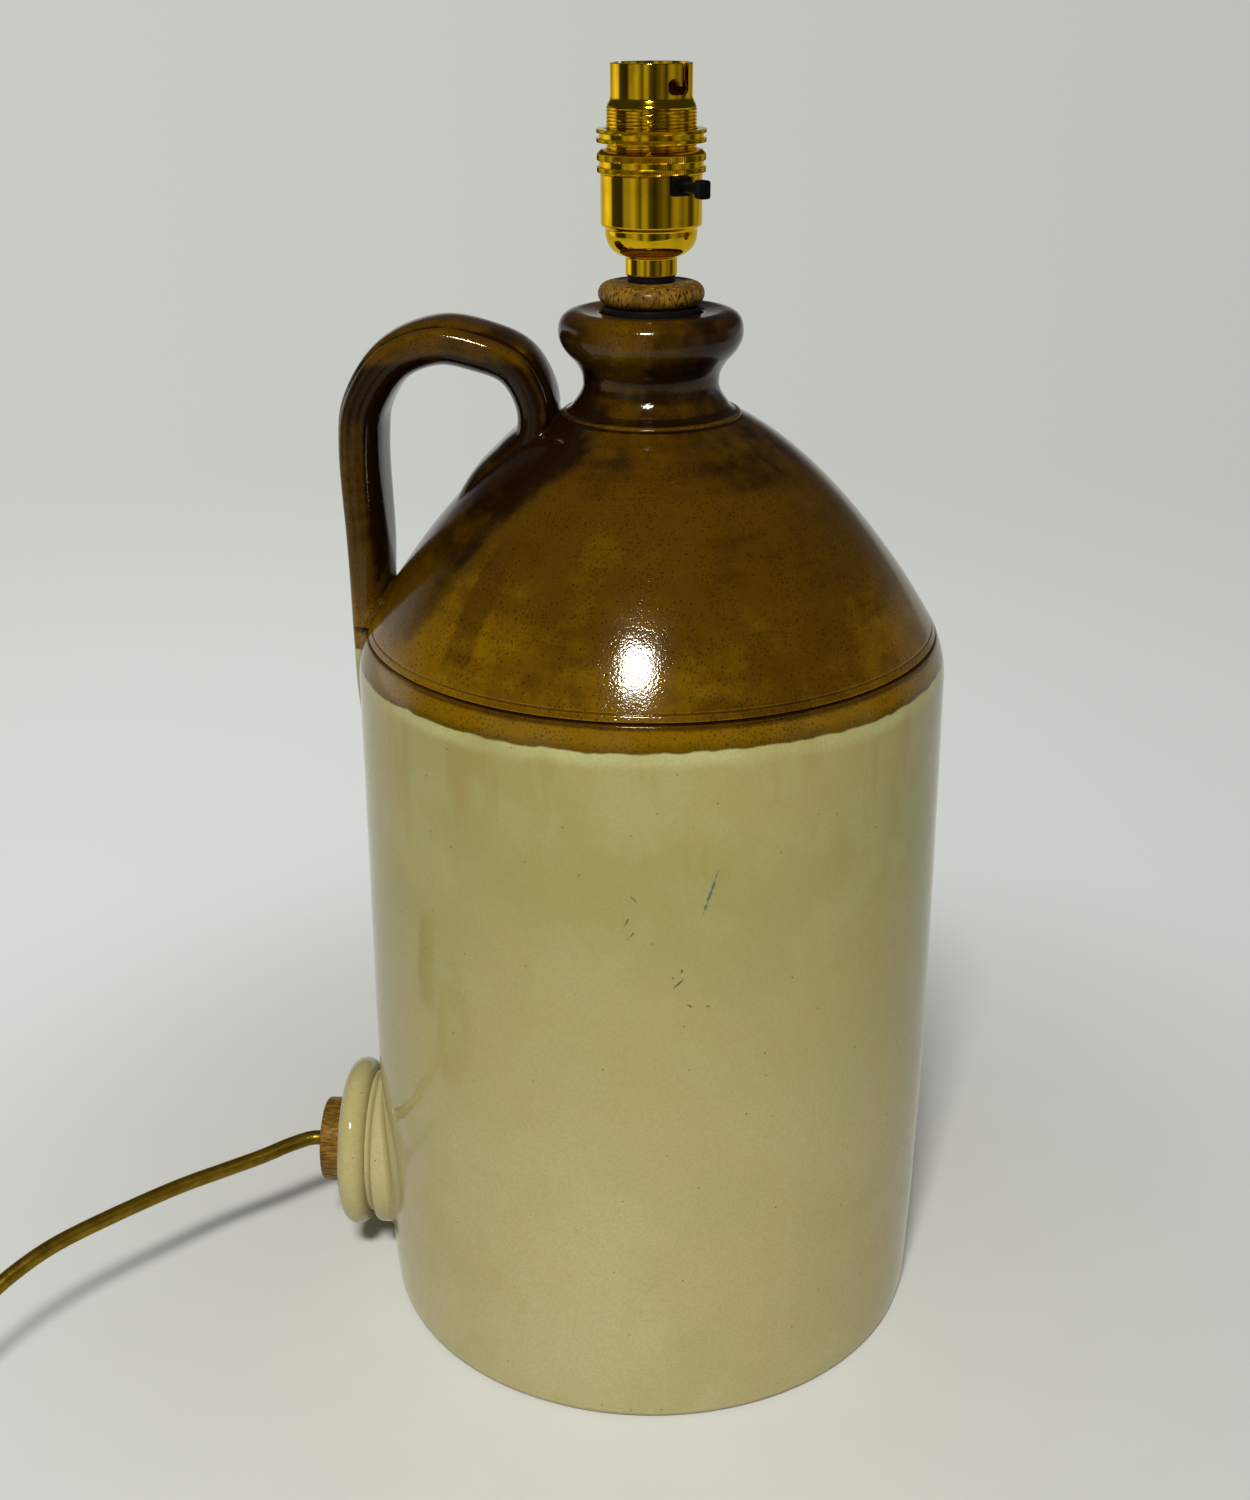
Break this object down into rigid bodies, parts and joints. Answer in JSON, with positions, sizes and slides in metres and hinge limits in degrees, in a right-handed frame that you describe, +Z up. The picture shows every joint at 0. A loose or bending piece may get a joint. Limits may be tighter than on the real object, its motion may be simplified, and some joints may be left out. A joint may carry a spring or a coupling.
{
  "type": "stoneware flagon lamp",
  "caption": "Table lamp made from a two-tone stoneware flagon with strap handle, flex outlet boss, turned wooden cap and switched brass bayonet lampholder.",
  "frame": {"origin": "centre of the flagon's flat foot, on the surface it stands on", "axes": "+Z up along the flagon's axis; the handle and the flex outlet point to -X; the front faces -Y"},
  "size_m": [0.4745, 0.2423, 0.4394],
  "materials": {
    "cream_glaze": "glossy cream salt and lead glaze over stoneware",
    "brown_glaze": "glossy iron brown glaze with dark speckle",
    "brass": "polished and lacquered, turned",
    "contact_brass": "bright turned brass",
    "zinc_steel": "zinc plated",
    "spring_steel": "drawn spring wire",
    "cap_wood": "turned, stained and varnished",
    "bung_wood": "turned, varnished",
    "black_rubber": "moulded",
    "black_plastic": "moulded thermoset",
    "plug_plastic": "moulded thermoset",
    "white_ceramic": "unglazed steatite",
    "gold_flex": "old gold PVC sheath",
    "brown_core": "PVC",
    "blue_core": "PVC",
    "green_core": "green and yellow PVC"
  },
  "bodies": {
    "lamp": {"flagon_body": "cream_glaze", "flagon_handle": "brown_glaze", "outlet_boss": "cream_glaze", "outlet_bung": "bung_wood", "mouth_bung": "black_rubber", "wooden_cap": "cap_wood", "seat_washer": "black_rubber", "nipple": "brass", "clamp_plate": "zinc_steel", "nipple_nut": "brass", "holder_housing": "brass", "holder_barrel": "brass", "union_ring": "brass", "switch_body": "black_plastic", "contact_block": "white_ceramic", "terminal_screw_live": "brass", "terminal_screw_neutral": "brass", "terminal_screw_earth": "brass", "plunger_spring_1": "spring_steel", "plunger_spring_2": "spring_steel", "bar_bush_front": "black_plastic", "bar_bush_back": "black_plastic", "core_live": "brown_core", "core_neutral": "blue_core", "core_earth": "green_core", "inner_flex": "gold_flex", "flex": "gold_flex", "flex_coil": "gold_flex", "flex_tail": "gold_flex", "plug_cover": "plug_plastic", "plug_base": "plug_plastic", "plug_pin_live": "contact_brass", "plug_pin_neutral": "contact_brass", "plug_pin_earth": "contact_brass", "plug_screw": "zinc_steel", "plug_fuse": "white_ceramic", "plug_cord_grip": "plug_plastic"},
    "shade_ring": {"shade_ring": "brass"},
    "switch_bar": {"switch_bar": "black_plastic"},
    "plunger_1": {"contact_plunger_1": "contact_brass"},
    "plunger_2": {"contact_plunger_2": "contact_brass"}
  },
  "joints": [
    {"name": "shade_ring_lift", "type": "slide", "parent": "lamp", "child": "shade_ring", "axis": [0, 0, 1], "range_m": [-0.0018, 0.026]},
    {"name": "switch_bar_push", "type": "slide", "parent": "lamp", "child": "switch_bar", "axis": [0.5519, -0.8339, 0], "range_m": [-0.0078, 0]},
    {"name": "plunger_1_press", "type": "slide", "parent": "lamp", "child": "plunger_1", "axis": [0, 0, 1], "range_m": [-0.0045, 0], "stiffness_N_per_m": 600, "springref_m": 0.002, "deforming": ["plunger_spring_1"]},
    {"name": "plunger_2_press", "type": "slide", "parent": "lamp", "child": "plunger_2", "axis": [0, 0, 1], "range_m": [-0.0045, 0], "stiffness_N_per_m": 600, "springref_m": 0.002, "deforming": ["plunger_spring_2"]}
  ]
}
